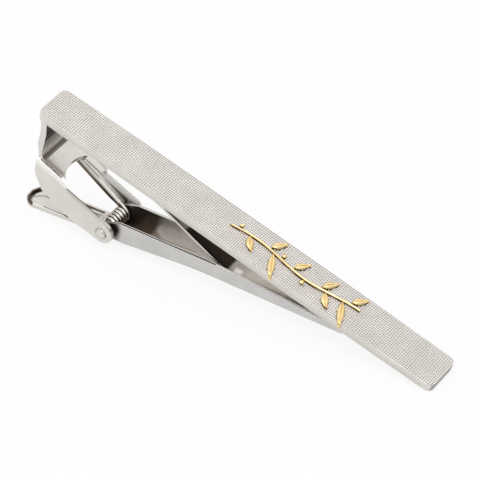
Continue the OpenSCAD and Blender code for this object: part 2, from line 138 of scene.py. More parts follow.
def round_off(radius, segments):
    bpy.ops.mesh.bevel(offset=radius, segments=segments, affect="EDGES")


print("hand tools are ready")

# %% [markdown]
# A finished piece is carried to the frame, smoothed by angle, given its material and tied to the body that
# moves it, and it hides the plain solid that it stands for. Folded sheet asks for `level`: its large flat
# faces rule the shading, so no soft shadow creeps in from its edges.

# %% Finishing a piece
def settle(piece, material, body="clip_frame", nodes=(), smooth=32, level=False):
    only(piece)
    piece.matrix_world = STAND
    bpy.ops.object.transform_apply()
    bpy.ops.object.shade_smooth_by_angle(angle=math.radians(smooth))
    if level:
        even = piece.modifiers.new("even", "WEIGHTED_NORMAL")
        even.keep_sharp = True
        bpy.ops.object.modifier_apply(modifier=even.name)
    if not piece.data.materials:
        piece.data.materials.append(material)
    if nodes:
        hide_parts(*nodes)
    if body:
        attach(piece, body)
    print("%-16s %6d faces" % (piece.name, len(piece.data.polygons)))


def apply_all(piece):
    only(piece)
    for modifier in list(piece.modifiers):
        bpy.ops.object.modifier_apply(modifier=modifier.name)


def face_out(piece):
    edit(piece)
    bpy.ops.mesh.select_all(action="SELECT")
    bpy.ops.mesh.normals_make_consistent(inside=False)
    done()


print("finishing helpers are ready")

# %% [markdown]
# ## Finishes
# The plated parts share a few surface effects, each a node group that is built once. Node trees are wordy to
# build by hand, so these helpers add one node, wire it and return its output.

# %% Node helpers
def feed(socket, value):
    """Wire an output to a socket, or set a plain value on it."""
    if isinstance(value, bpy.types.NodeSocket):
        socket.id_data.links.new(value, socket)
    elif value is not None:
        socket.default_value = value


def new_node(tree, kind, **values):
    node = tree.nodes.new("ShaderNode" + kind)
    for label, value in values.items():
        feed(node.inputs[label], value)
    return node


def math_node(tree, operation, a, b=None, clamp=False):
    node = tree.nodes.new("ShaderNodeMath")
    node.operation, node.use_clamp = operation, clamp
    feed(node.inputs[0], a)
    feed(node.inputs[1], b)
    return node.outputs[0]


def vector_node(tree, operation, a, b=None):
    node = tree.nodes.new("ShaderNodeVectorMath")
    node.operation = operation
    feed(node.inputs[0], a)
    feed(node.inputs[1], b)
    return node.outputs["Value" if operation in ("DOT_PRODUCT", "LENGTH") else "Vector"]


def range_node(tree, value, low, high, to_low=0.0, to_high=1.0, smooth=False):
    node = tree.nodes.new("ShaderNodeMapRange")
    node.interpolation_type = "SMOOTHSTEP" if smooth else "LINEAR"
    limits = {"Value": value, "From Min": low, "From Max": high, "To Min": to_low, "To Max": to_high}
    for label, number in limits.items():
        feed(node.inputs[label], number)
    return node.outputs["Result"]


print("node helpers are ready")

# %% [markdown]
# Every group takes a place on the bench and a few settings, and puts out one number. A setting that
# starts as three numbers becomes a vector socket.

# %% A group with its sockets
def new_group(name, output, **settings):
    tree = bpy.data.node_groups.new(name, "ShaderNodeTree")
    tree.interface.new_socket("Place", in_out="INPUT", socket_type="NodeSocketVector")
    for label, value in settings.items():
        kind = "NodeSocketVector" if isinstance(value, tuple) else "NodeSocketFloat"
        tree.interface.new_socket(label, in_out="INPUT", socket_type=kind).default_value = value
    tree.interface.new_socket(output, in_out="OUTPUT", socket_type="NodeSocketFloat")
    return tree, tree.nodes.new("NodeGroupInput").outputs, tree.nodes.new("NodeGroupOutput").inputs[output]


print("groups can be made")

# %% [markdown]
# Fingers leave a cloudy haze on plated metal. Noise makes it, and a range node spreads it, so that clear
# patches stay between the hazy ones.

# %% Handling haze
haze, given, result = new_group("handling haze", "Mask", Size=2.0)
fineness = math_node(haze, "DIVIDE", 1.0, given["Size"])
cloud = new_node(haze, "TexNoise", Vector=given["Place"], Scale=fineness, Detail=4.0)
feed(result, range_node(haze, cloud.outputs["Fac"], 0.34, 0.66, smooth=True))
print("group:", haze.name)

# %% [markdown]
# Drawing and brushing leave fine lines that run one way. They are noise too, stretched by a small factor
# along the lines and by large ones across them.

# %% Drawn lines
lines, given, result = new_group("drawn lines", "Height", Stretch=(0.1, 8.0, 8.0))
stretched = vector_node(lines, "MULTIPLY", given["Place"], given["Stretch"])
streak = new_node(lines, "TexNoise", Vector=stretched, Scale=1.0, Detail=3.0)
feed(result, streak.outputs["Fac"])
print("group:", lines.name)

# %% [markdown]
# The face has a grain of small dots in squares. The product of two sine waves, along the bar and across it,
# is high on each dot and low in each pit. The modelled dots have its pitch.

# %% Square grain
GRAIN_PITCH = 0.302

grain, given, result = new_group("square grain", "Crown", Pitch=GRAIN_PITCH)
axes = new_node(grain, "SeparateXYZ", Vector=given["Place"])
rate = math_node(grain, "DIVIDE", math.pi, given["Pitch"])


def wave(axis):
    swing = math_node(grain, "SINE", math_node(grain, "MULTIPLY", axes.outputs[axis], rate))
    return math_node(grain, "ABSOLUTE", swing)


feed(result, math_node(grain, "MULTIPLY", wave("X"), wave("Y")))
print("group:", grain.name, " one dot every %.3f mm" % GRAIN_PITCH)

# %% [markdown]
# Polished sheet mirrors what stands near it, so an inside corner looks dark even in plain light. A box with soft walls
# paints that shade, and where its colour is light it paints a light reflection instead: its mask is 1 inside and falls
# to 0 outside, one wall for each axis.

# %% Recess
recess, given, result = new_group("recess shade", "Mask", Middle=(0, 0, 0), Reach=(1, 1, 1), Softness=0.5)
away = vector_node(recess, "ABSOLUTE", vector_node(recess, "SUBTRACT", given["Place"], given["Middle"]))
beyond = new_node(recess, "SeparateXYZ", Vector=vector_node(recess, "SUBTRACT", away, given["Reach"]))
wall_x, wall_y, wall_z = [range_node(recess, beyond.outputs[axis], 0.0, given["Softness"], 1.0, 0.0, smooth=True)
                          for axis in "XYZ"]
feed(result, math_node(recess, "MULTIPLY", math_node(recess, "MULTIPLY", wall_x, wall_y), wall_z))
print("group:", recess.name)

# %% [markdown]
# A painted line puts painted shade, and in places a painted highlight, along a thin line, such as the shade of a
# groove too fine to model. Its mask is 1 within a half width of a straight stretch, whose nearest point a dot product
# finds. Several stretches end to end follow a path.

# %% Pressed line
# The mask of a painted line of shade and highlight.
pressed, given, result = new_group("painted line", "Mask", From=(0, 0, 0), To=(1, 0, 0), Half=0.1)
stretch_way = vector_node(pressed, "SUBTRACT", given["To"], given["From"])
reached = vector_node(pressed, "SUBTRACT", given["Place"], given["From"])
share_done = math_node(pressed, "DIVIDE", vector_node(pressed, "DOT_PRODUCT", reached, stretch_way),
                       vector_node(pressed, "DOT_PRODUCT", stretch_way, stretch_way), clamp=True)
nearest = vector_node(pressed, "MULTIPLY", stretch_way, share_done)
aside = vector_node(pressed, "LENGTH", vector_node(pressed, "SUBTRACT", reached, nearest))
line_core, line_rim = [math_node(pressed, "MULTIPLY", given["Half"], share) for share in (0.7, 1.5)]
feed(result, range_node(pressed, aside, line_core, line_rim, 1.0, 0.0, smooth=True))
print("groups:", [group.name for group in bpy.data.node_groups])

# %% [markdown]
# The groups work in bench millimetres, so a Mapping node turns the object's own coordinates, in metres and
# tipped with the clip, back onto the bench. Colours are laid over each other by masks.

# %% Material helpers
COLOUR_A, COLOUR_B, COLOUR_OUT = 6, 7, 2  # the Mix node's sockets for colours


def use_group(tree, group, **settings):
    node = tree.nodes.new("ShaderNodeGroup")
    node.node_tree = group
    for label, value in settings.items():
        feed(node.inputs[label], value)
    return node.outputs[0]


def bench_place(tree):
    where = new_node(tree, "TexCoord").outputs["Object"]
    return new_node(tree, "Mapping", Vector=where, Scale=(1000, 1000, 1000), Rotation=(0, -tilt, 0),
                    Location=BENCH.translation).outputs["Vector"]


def mix_colour(tree, mask, under, over):
    node = new_node(tree, "Mix", Factor=mask)
    node.data_type = "RGBA"
    for index, colour in ((COLOUR_A, under), (COLOUR_B, over)):
        feed(node.inputs[index], (*colour, 1.0) if isinstance(colour, tuple) else colour)
    return node.outputs[COLOUR_OUT]


print("material helpers are ready")

# %% [markdown]
# Metal takes its colour from what it mirrors, so the base colour is only the plate's own tint. The haze moves tint and
# roughness a little, and painted zones and painted lines of light and shade go on top in turn. Constants are set on
# the shader's own sockets, and only what varies is wired.

# %% A plated finish
LINE_DEPTH = 0.000004


def plated(name, light, shade, rough=(0.2, 0.3), haze_size=3.0, stretch=(0.12, 9.0, 9.0), relief=0.05, metal=1.0,
           painted_zones=(), painted_lines=()):
    """Painted zones and lines put light and shade into the colour. A zone is its middle, reach, softness and colour. A
    line is its two ends, half width and colour.
    """
    material = bpy.data.materials.new(name)
    material.use_nodes = True
    tree = material.node_tree
    shader = tree.nodes["Principled BSDF"]
    here = bench_place(tree)
    cloudy = use_group(tree, haze, Place=here, Size=haze_size)
    brushed = use_group(tree, lines, Place=here, Stretch=stretch)
    colour = mix_colour(tree, cloudy, light, shade)
    for middle, reach, softness, tone in painted_zones:
        mask = use_group(tree, recess, Place=here, Middle=middle, Reach=reach, Softness=softness)
        colour = mix_colour(tree, mask, colour, tone)
    for start, end, half, tone in painted_lines:
        mask = use_group(tree, pressed, Place=here, From=start, To=end, Half=half)
        colour = mix_colour(tree, mask, colour, tone)
    feed(shader.inputs["Base Color"], colour)
    feed(shader.inputs["Roughness"], range_node(tree, math_node(tree, "ADD", cloudy, brushed), 0.3, 1.5, *rough))
    bump = new_node(tree, "Bump", Strength=relief, Distance=LINE_DEPTH, Height=brushed)
    feed(shader.inputs["Normal"], bump.outputs["Normal"])
    shader.inputs["Metallic"].default_value = metal
    return material


NICKEL, NICKEL_WORN, BRIGHT_ROUGH = (0.735, 0.712, 0.672), (0.70, 0.678, 0.638), (0.24, 0.34)
bright = plated("bright nickel", NICKEL, NICKEL_WORN, rough=BRIGHT_ROUGH)
# Burnished edges that also carry a painted highlight: a lighter colour than the plate on every bevel.
burnished_highlight = plated("burnished edge", (0.90, 0.88, 0.85), (0.80, 0.78, 0.75), haze_size=0.6)
print("finishes:", bright.name, "and", burnished_highlight.name)

# %% [markdown]
# One sheet piece shows several finishes: bright outside, painted shade inside, and along its edges burnished metal
# with a painted highlight. `paint` asks for each face's finish by its middle and normal. A face with the burnished
# highlight stays so, unless the new finish is named in `over_edges`.

# %% Painting faces
def paint(piece, choose, over_edges=()):
    slots = piece.data.materials
    for face in piece.data.polygons:
        finish = choose(face.center, face.normal)
        if finish and (slots[face.material_index] != burnished_highlight or finish in over_edges):
            if finish.name not in slots:
                slots.append(finish)
            face.material_index = slots.find(finish.name)


print("faces can be painted")

# %% [markdown]
# ## The bar
# The real bar is a flat strip with gently swollen long sides and rounded corners. A cube becomes the blank,
# lower than the real face by the depth of the grain. A bevel rounds its corners, and a row of bisects lets
# the long sides bend, so that the swelling is a simple stretch in Y.

# %% Bar blank
BAR_LEN, BAR_END_W, BAR_SWELL, BAR_T, PIT, CORNER, SIDE_POINTS = 58.0, 5.35, 0.15, 1.24, 0.06, 0.9, 40

clear()
bpy.ops.mesh.primitive_cube_add(size=1, location=(0, 0, -(BAR_T + PIT) / 2), scale=(BAR_LEN, BAR_END_W, BAR_T - PIT))
bar = blank("bar_body")
pick(bar, "EDGE", lambda e: abs(ends(e)[0].z - ends(e)[1].z) > BAR_T / 2)
round_off(CORNER, 8)
for k in range(1, SIDE_POINTS):
    cut(((k / (SIDE_POINTS / 2) - 1) * (BAR_LEN / 2 - 1), 0, 0), (1, 0, 0), whole=True)
done()


def swell(x):
    return BAR_SWELL * (1 - (2 * x / BAR_LEN) ** 2)


for vertex in bar.data.vertices:
    vertex.co.y *= 1 + 2 * swell(vertex.co.x) / BAR_END_W
print("blank:", len(bar.data.vertices), "vertices")

# %% [markdown]
# Stamping rounds a bar's edges, more at the back than round the grained face. Each rim is found by its height
# and the angle between its faces, which tells it from the corner arcs.

# %% Bar edges
def sharp_between(edge, low, high):
    is_sharp = len(edge.link_faces) == 2 and edge.calc_face_angle(0) > 0.8
    return is_sharp and all(low < point.z < high for point in ends(edge))


edit(bar)
for low, high, radius, segments in ((-PIT - 0.01, 1.0, 0.05, 3), (-BAR_T - 1.0, 0.01 - BAR_T, 0.1, 2)):
    print("edges to round:", pick(bar, "EDGE", lambda e: sharp_between(e, low, high)))
    round_off(radius, segments)
done()

# %% [markdown]
# The sides are satin, with a band of painted shade low down and painted shade on the far end, which faces away from
# the light. On the face the pits between the dots get painted shade and the crowns stay light, so the colour that
# `plated` wired is mixed once more, by the grain.

# %% Bar finishes
# Painted shade: a darker band low on the sides, and the far end, which faces away from the light.
satin = plated("satin nickel", NICKEL, NICKEL_WORN, rough=(0.3, 0.4), painted_zones=[
    ((0, 0, -1.15), (27.6, 5.0, 0.42), 0.2, (0.655, 0.632, 0.592)),
    ((30.0, 0, -0.7), (1.05, 2.3, 0.55), 0.35, (0.38, 0.36, 0.335))])

grained = plated("grained nickel", (0.92, 0.89, 0.85), (0.84, 0.81, 0.77), rough=(0.28, 0.4))
tree = grained.node_tree
crown = use_group(tree, grain, Place=tree.nodes["Mapping"].outputs["Vector"], Pitch=GRAIN_PITCH)
base = tree.nodes["Principled BSDF"].inputs["Base Color"]
# Painted shade in the pits: they take the dark colour, and only the crowns keep the plated one.
lit_crowns = range_node(tree, crown, 0.05, 0.5, smooth=True)
feed(base, mix_colour(tree, lit_crowns, (0.30, 0.275, 0.25), base.links[0].from_socket))

bar.data.materials.append(satin)
paint(bar, lambda at, way: grained if way.z > 0.9 else None)
settle(bar, satin, nodes=["front_bar"], level=True)

# %% [markdown]
# The grain is thousands of tiny raised dots. One is modelled from a low cone with its top cut off and
# bevelled, and two Array modifiers repeat it, so a change to the first changes them all.

# %% One dot, and all of them
DOT_ROWS, DOT_COLS, DOT_H, DOT_FOOT, DOT_CROWN = 20, 193, 0.075, 0.49, 0.16


def first_of(count):
    return -GRAIN_PITCH * count / 2 + GRAIN_PITCH / 2


clear()
bpy.ops.mesh.primitive_cone_add(
    vertices=8, radius1=GRAIN_PITCH * DOT_FOOT, radius2=GRAIN_PITCH * DOT_CROWN, depth=DOT_H, end_fill_type="NGON",
    location=(first_of(DOT_COLS), first_of(DOT_ROWS), -DOT_H / 2))
dots = blank("bar_grain")
pick(dots, "FACE", lambda f: f.normal.z < -0.9)
bpy.ops.mesh.delete(type="FACE")
pick(dots, "EDGE", lambda e: min(point.z for point in ends(e)) > -0.01)
round_off(0.02, 1)
done()
for count, step in ((DOT_COLS, (GRAIN_PITCH, 0, 0)), (DOT_ROWS, (0, GRAIN_PITCH, 0))):
    row = dots.modifiers.new("row", "ARRAY")
    row.count, row.use_relative_offset, row.use_constant_offset = count, False, True
    row.constant_offset_displace = step
apply_all(dots)
print("dots:", DOT_ROWS * DOT_COLS)

# %% [markdown]
# The arrays fill a plain rectangle. Dots whose middle lies outside the bar's outline are deleted, and
# those on it are pressed back to it, as if cut.

# %% Trim the grain to the outline
def past_edge(x, y, margin):
    """How far a place lies outside the bar's outline, and the way out."""
    corner = Vector((min(max(x, CORNER - BAR_LEN / 2), BAR_LEN / 2 - CORNER), y))
    if corner.x != x and abs(y) > BAR_END_W / 2 - CORNER:
        corner.y = math.copysign(BAR_END_W / 2 - CORNER, y)
        arm = Vector((x, y)) - corner
        return arm.length - CORNER + margin, arm.normalized()
    if abs(x) > BAR_LEN / 2 - margin:
        return abs(x) - BAR_LEN / 2 + margin, Vector((math.copysign(1, x), 0))
    half = BAR_END_W / 2 + swell(x) - margin
    return abs(y) - half, Vector((0, math.copysign(1, y)))


def dot_is_past(vertex):
    column, row = round(vertex.co.x / GRAIN_PITCH), math.floor(vertex.co.y / GRAIN_PITCH) + 0.5
    return past_edge(column * GRAIN_PITCH, row * GRAIN_PITCH, 0.03)[0] > 0


edit(dots)
print("points off the bar:", pick(dots, "VERT", dot_is_past))
bpy.ops.mesh.delete(type="VERT")
done()
for vertex in dots.data.vertices:
    over, way = past_edge(vertex.co.x, vertex.co.y, 0.02)
    if over > 0:
        vertex.co.x, vertex.co.y = vertex.co.x - way.x * over, vertex.co.y - way.y * over
settle(dots, grained, smooth=25)

# %% [markdown]
# ## The bracket
# Bracket and lever are folded sheet, and the imported solids hold their outlines exactly. So a copy of the solid is
# merged and cleaned, and its sharp edges get the small radius that tumbling and plating leave, which catches the light
# along every edge. The bevel faces also take the burnished finish, which adds a painted highlight there.

# %% Softening a copy of a solid
EDGE_SHARP = 38


def solid_copy(node, name, finish):
    piece = bpy.data.objects.new(name, frame["nodes"][node].data.copy())
    bpy.context.scene.collection.objects.link(piece)
    piece.data.transform(BENCH)
    piece.data.materials.clear()
    for each in (finish, burnished_highlight):
        piece.data.materials.append(each)
    edit(piece)
    bpy.ops.mesh.select_all(action="SELECT")
    bpy.ops.mesh.remove_doubles(threshold=0.002)
    bpy.ops.mesh.dissolve_limited(angle_limit=math.radians(0.6))
    return piece


def soften(radius):
    bpy.ops.mesh.select_all(action="DESELECT")
    bpy.ops.mesh.select_mode(type="EDGE")
    bpy.ops.mesh.edges_select_sharp(sharpness=math.radians(EDGE_SHARP))
    # Material 1 is the burnished finish with its painted highlight.
    bpy.ops.mesh.bevel(offset=radius, segments=2, affect="EDGES", clamp_overlap=True, material=1)
    done()


print("solids can be copied and softened")

# %% [markdown]
# The solid lacks three things. First, the shear that cut the far ear rolled its inner top edge over. Two
# bisects mark out a slice of the inner face below that edge, and moving the points above it outwards leans
# the slice back into a wide chamfer.

# %% Folded bracket, with its rolled edge
EAR_Y, SHEET, BROW_X = 3.18, 0.56, -22.36
ROLL_OVER, ROLL_DEEP = 0.48, 0.52

bracket = solid_copy("bracket", "hinge_bracket", bright)
ear_slope = Vector((-3.87, 0, 0.65)).normalized()
ear_down = Vector((-ear_slope.z, 0, ear_slope.x))
ear_spot = Vector((-19.99, 0, -9.55))


def on_inner_face(point):
    return abs(abs(point.y) - EAR_Y + SHEET) < 0.02


def rolls(vertex):
    at = vertex.co
    above = (at - ear_spot).dot(ear_down) < ROLL_DEEP - 0.05 and at.z > -10.7
    return above and at.y > 0 and on_inner_face(at) and BROW_X < at.x < -15.4


for spot, way in ((ear_spot + ear_down * ROLL_DEEP, ear_down), (Vector((BROW_X - 0.01, 0, 0)), Vector((1, 0, 0)))):
    pick(bracket, "FACE", lambda f: f.normal.y < -0.95 and 2.4 < f.calc_center_median().y < 2.7)
    cut(spot, way)
print("rolled points:", pick(bracket, "VERT", rolls))
bpy.ops.transform.translate(value=(0, ROLL_OVER, 0))
soften(0.06)

# %% [markdown]
# Second, the near fold was creased along the plate. Bisects mark out a narrow groove, and its middle line is
# pushed down. Only the plate's own faces are cut, so that ears and strip get no needless edges.

# %% The crease
CREASE_Y, CREASE_HALF, CREASE_FROM, CREASE_TO = -2.75, 0.1, -26.9, -23.8
CREASE_DOWN, CREASE_FADE = 0.12, 0.15


def near_plate(face):
    at = face.calc_center_median()
    return face.normal.z > 0.6 and at.y < 0 and -9 < at.z < -6


def in_groove(vertex):
    on_line = abs(vertex.co.y - CREASE_Y) < 0.02 and vertex.normal.z > 0.5
    return on_line and CREASE_FROM - 0.01 < vertex.co.x < CREASE_TO + 0.01


cuts = [((0, CREASE_Y + shift, 0), (0, 1, 0)) for shift in (-CREASE_HALF, 0, CREASE_HALF)]
cuts += [((x, 0, 0), (1, 0, 0)) for x in (CREASE_FROM - CREASE_FADE, CREASE_FROM, CREASE_TO, CREASE_TO + CREASE_FADE)]
edit(bracket)
for spot, way in cuts:
    pick(bracket, "FACE", near_plate)
    cut(spot, way)
print("groove points:", pick(bracket, "VERT", in_groove))
bpy.ops.transform.translate(value=(0, 0.04, -CREASE_DOWN))
done()

# %% [markdown]
# The strip that drops from the bar mirrors the dark throat above it and the bright plate below, in bands. The insides
# of the ears mirror the dark lever, and the far one has a light streak of sky. All of these are painted reflections
# and painted shade: each is a plain finish with a few painted zones and lines.

# %% Bracket finishes: strip, ears and folds
# Painted reflections in bands: black under the bar, a light stripe, a brown one, then the plate's colour.
strip_inside = plated("strip under the bar", (0.47, 0.46, 0.45), (0.42, 0.41, 0.40), rough=(0.26, 0.36), painted_zones=[
    ((-27.2, 0, -2.3), (0.6, 2.9, 1.7), 0.8, (0.012, 0.009, 0.006)),
    ((-27.2, 0, -6.0), (0.35, 2.9, 0.3), 0.45, (0.93, 0.91, 0.885)),
    ((-26.75, 0, -6.8), (0.2, 2.9, 0.3), 0.25, (0.21, 0.185, 0.165)),
    ((-24.0, 0, -7.5), (2.1, 3.2, 1.2), 0.4, NICKEL)])
# Painted shade inside the ears, darker low down, with a painted highlight near the pin and a painted light streak of
# sky.
ear_inside = plated("shaded ear", (0.20, 0.165, 0.14), (0.15, 0.12, 0.10), rough=(0.26, 0.36), painted_zones=[
    ((-21.0, 2.6, -12.6), (5.0, 0.4, 0.9), 1.0, (0.05, 0.036, 0.028)),
    ((-16.2, 2.6, -11.0), (0.6, 0.4, 0.9), 0.3, (1.0, 0.98, 0.95))], painted_lines=[
    ((-22.7, 2.62, -9.75), (-17.6, 2.62, -11.83), 0.5, (0.74, 0.72, 0.70))])
# The inside of the far fold is painted light, with painted shade near the notch.
fold_inside = plated("shaded fold", (0.80, 0.78, 0.75), (0.72, 0.70, 0.67), rough=(0.26, 0.36), painted_zones=[
    ((-24.6, 2.6, -8.6), (0.8, 1.4, 1.5), 0.4, (0.25, 0.22, 0.19))])
# A band of painted shade along the near fold.
plate = plated("sloping plate", NICKEL, NICKEL_WORN, rough=BRIGHT_ROUGH, painted_zones=[
    ((-25.2, -2.65, -7.5), (1.2, 0.3, 0.7), 0.6, (0.42, 0.385, 0.35))])
print("shaded finishes:", [finish.name for finish in (strip_inside, ear_inside, fold_inside, plate)])

# %% [markdown]
# The near fold gets a painted highlight, almost white, and the far ear's rolled edge is painted light. Painted shade
# sits in the crease and along the near ear's top. These light faces are only partly metallic, so they scatter light as
# paint does.

# %% Bracket finishes: edges
highlight_rim = plated("painted highlight rim", (0.98, 0.965, 0.94), (0.92, 0.90, 0.87), rough=(0.4, 0.5), haze_size=0.8, metal=0.5)
rolled_edge = plated("rolled far edge", (1.0, 0.99, 0.975), (0.96, 0.95, 0.935), rough=(0.45, 0.55), haze_size=0.8,
                     metal=0.6)
crease_shade = plated("painted crease shade", (0.30, 0.27, 0.245), (0.16, 0.14, 0.125), rough=(0.3, 0.4), haze_size=0.35)
# Painted shade along the inner edge of the near ear's top.
ear_edge = plated("top of the near ear", NICKEL, NICKEL_WORN, rough=BRIGHT_ROUGH, painted_lines=[
    ((-22.9, -2.68, -9.06), (-20.0, -2.68, -9.52), 0.09, (0.20, 0.16, 0.13)),
    ((-20.0, -2.68, -9.52), (-17.5, -2.68, -9.97), 0.09, (0.20, 0.16, 0.13))])
print("edge finishes:", [finish.name for finish in (highlight_rim, rolled_edge, crease_shade, ear_edge)])

# %% [markdown]
# Each face finds its finish by where it is and which way it looks. The tests run from the smallest place
# to the largest, so that the crease is claimed before the plate that it lies in.

# %% Painting the bracket
def on_bracket(at, way):
    looks_in = way.y * at.y < -0.5 * abs(at.y)
    # Painted shade in the crease.
    if CREASE_FROM - 0.1 < at.x < CREASE_TO + 0.1 and abs(at.y - CREASE_Y) < CREASE_HALF and way.z > 0:
        return crease_shade
    # A painted highlight on the near fold's outside.
    if at.y < -2.8 and way.y < -0.3 and way.z > 0.2 and at.z > -9:
        return highlight_rim
    if way.z > 0.9 and -26.5 < at.x < -22 and abs(at.y) < 2.7:
        return plate
    if at.y < -2.5 and way.z > 0.9 and -23 < at.x < -17:
        return ear_edge
    # The rolled far edge is painted light.
    if at.y > 2.4 and at.x > -22.4 and 0.3 < way.z < 0.8 and way.y < -0.5:
        return rolled_edge
    if abs(at.y) > 2.3 and looks_in:
        return fold_inside if at.x < -22.2 and at.z > -9.6 else ear_inside if abs(way.z) < 0.3 else None
    if at.x < -26 and abs(at.y) < 2.62 and (way.x > 0.5 or way.x > 0.15 and at.z < -5.5 and way.z > 0):
        return strip_inside
    return None


paint(bracket, on_bracket, over_edges=(highlight_rim, ear_edge, rolled_edge))
print("the bracket has", len(bracket.data.materials), "finishes")

# %% [markdown]
# Third, the far fold runs on past the notch as a short lip. Bent strip is best made as a row of points along
# its middle, and `bent` turns each corner of a path into an arc that touches both runs.

# %% A path with round corners
def bent(corners, steps=12):
    """Points along straight runs. Each corner is its two coordinates and its radius."""
    points = [Vector(corners[0][:2])]
    for before, (x, z, radius), after in zip(corners, corners[1:], corners[2:]):
        at = Vector((x, z))
        back_run, on_run = (Vector(before[:2]) - at).normalized(), (Vector(after[:2]) - at).normalized()
        half = math.acos(back_run.dot(on_run)) / 2
        centre = at + (back_run + on_run).normalized() * radius / math.sin(half)
        start = at + back_run * radius / math.tan(half) - centre
        end = at + on_run * radius / math.tan(half) - centre
        for k in range(steps + 1):
            points.append(centre + start.lerp(end, k / steps).normalized() * radius)
    return points + [Vector(corners[-1][:2])]


def length_of(points):
    return sum((b - a).length for a, b in zip(points, points[1:]))


print("a right angle with a 1 mm corner is %.2f mm long" % length_of(bent([(0, 1, 0), (0, 0, 1), (1, 0, 0)])))

# %% [markdown]
# `sheet_metal` hangs a grid on those points, one row for each. Solidify then gives it a thickness, and
# Bevel its edge radius.

# %% A strip that follows a path
def sheet_metal(name, points, width, thick, place, offset):
    """A strip whose cross rows sit where place(station, across) says."""
    clear()
    bpy.ops.mesh.primitive_grid_add(x_subdivisions=len(points) - 1, y_subdivisions=6, size=1)
    piece = named(name)
    for vertex in piece.data.vertices:
        station = points[round((vertex.co.x + 0.5) * (len(points) - 1))]
        vertex.co = place(station, vertex.co.y * width)
    strip = piece.modifiers.new("strip", "SOLIDIFY")
    strip.thickness, strip.offset = thick, offset
    rounded = piece.modifiers.new("rounded", "BEVEL")
    rounded.width, rounded.segments, rounded.limit_method, rounded.angle_limit = 0.05, 2, "ANGLE", math.radians(50)
    apply_all(piece)
    return piece


print("strips can be bent")

# %% [markdown]
# The lip follows the plate's slope and turns down with the far fold's radius. It is joined to the
# bracket, because it is the same piece of sheet.

# %% The far fold's lip
PLATE_SLOPE, PLATE_AT = math.radians(11.6), Vector((-27.17, 0, -7.0))
LIP_FROM, LIP_TO, LIP_IN, LIP_OUT, LIP_DOWN, FOLD_R = -23.5, -20.8, 1.7, EAR_Y + 0.004, 1.28, 0.8


def on_lip(station, across):
    x = (LIP_FROM + LIP_TO) / 2 + across
    return x, station.x, PLATE_AT.z - (x - PLATE_AT.x) * math.tan(PLATE_SLOPE) + station.y


lip_path = bent([(LIP_IN, 0, 0), (LIP_OUT, 0, FOLD_R), (LIP_OUT, -LIP_DOWN, 0)])
lip = sheet_metal("lip", lip_path, LIP_TO - LIP_FROM, SHEET, on_lip, 1)
face_out(lip)
lip.data.materials.append(bright)
paint(lip, lambda at, way: fold_inside if way.y < -0.5 or way.z < -0.5 else None)
only(bracket)
lip.select_set(True)
bpy.ops.object.join()
settle(bracket, bright, nodes=["bracket"], level=True)

# %% [markdown]
# ## The lever
# One stamping: a channel with two walls, a jaw at one end and a dished thumb tail at the other. It lies at an
# angle to the bar and its tail dips more, so each gets its own directions. A place on the tail is then how
# far along, across and above it.

# %% The lever's own directions
LEVER_ANGLE, LEVER_W, LEVER_T, LEVER_DROP = math.radians(18.804), 4.22, 0.34, 1.48
TAIL_ANGLE = LEVER_ANGLE + math.radians(1.6)

along = Vector((math.cos(LEVER_ANGLE), 0, math.sin(LEVER_ANGLE)))
square = Vector((-along.z, 0, along.x))
tail_along = Vector((math.cos(TAIL_ANGLE), 0, math.sin(TAIL_ANGLE)))
tail_square = Vector((-tail_along.z, 0, tail_along.x))
TAIL_ROOT = PIN - square * LEVER_DROP


def on_tail(at):
    return (at - TAIL_ROOT).dot(tail_along), at.y, (at - TAIL_ROOT).dot(tail_square)


print("the lever leans by %.1f degrees" % math.degrees(LEVER_ANGLE))

# %% [markdown]
# The imported solid has a raised thumb pad. The real one is pressed nearly flush, so its top points are lowered. The
# channel's outside is grey, with painted shade under the tail, a painted shadow behind the near ear, and the plate's
# lighter colour towards the tail's end.

# %% Channel lever, with its pad pressed down
PAD_R, PAD_RISE = 1.0, 0.03

# Painted shade under the tail, the plate's lighter colour at the tail's end, and a painted shadow behind the near ear.
lever_side = plated("lever side", (0.64, 0.63, 0.615), (0.60, 0.59, 0.575), rough=(0.28, 0.38), painted_zones=[
    ((-20.4, 1.35, -14.9), (3.0, 1.0, 1.6), 0.7, (0.33, 0.30, 0.27)),
    ((-28.0, 0.0, -17.0), (6.0, 4.0, 3.0), 2.0, NICKEL),
    ((-15.4, -2.11, -11.4), (0.3, 0.4, 0.6), 1.0, (0.12, 0.09, 0.075))])
lever = solid_copy("lever", "channel_lever", lever_side)
shape = bmesh.from_edit_mesh(lever.data)
pad_points = 0
for vertex in shape.verts:
    u, y, h = on_tail(vertex.co)
    if u < -4.5 and abs(y) < PAD_R + 0.02 and LEVER_T + 0.1 < h < LEVER_T + 0.2:
        vertex.co -= tail_square * (h - LEVER_T - PAD_RISE)
        pad_points += 1
bmesh.update_edit_mesh(lever.data)
print("points of the pad pressed down:", pad_points)

# %% [markdown]
# Folding leaves a round corner where each wall meets the floor. Its bevel has to end with the straight part
# of the channel, so bisects put edges there first, and one where the slit will end. The other sharp edges
# then get their small radius.

# %% Folded corners
BEND_FROM, SLIT_END, BEND_TO, BEND_R = -1.2, 16.3, 33.4, 0.3

for reach in (BEND_FROM, SLIT_END, BEND_TO):
    cut(PIN + along * reach, along, whole=True)


def lower_corner(edge):
    if min(face.normal.dot(square) for face in edge.link_faces) > -0.9:
        return False
    return all(abs(abs(point.y) - LEVER_W / 2) < 0.03 and BEND_FROM - 0.1 < (point - PIN).dot(along) < BEND_TO + 0.1
               for point in ends(edge))


print("corner edges:", pick(lever, "EDGE", lower_corner))
round_off(BEND_R, 5)
soften(0.05)

# %% [markdown]
# A thin dark slit runs along the near wall's top, where the sheet was folded on itself. An inset of those faces, sunk
# a little, makes it, and its dark is painted shade.

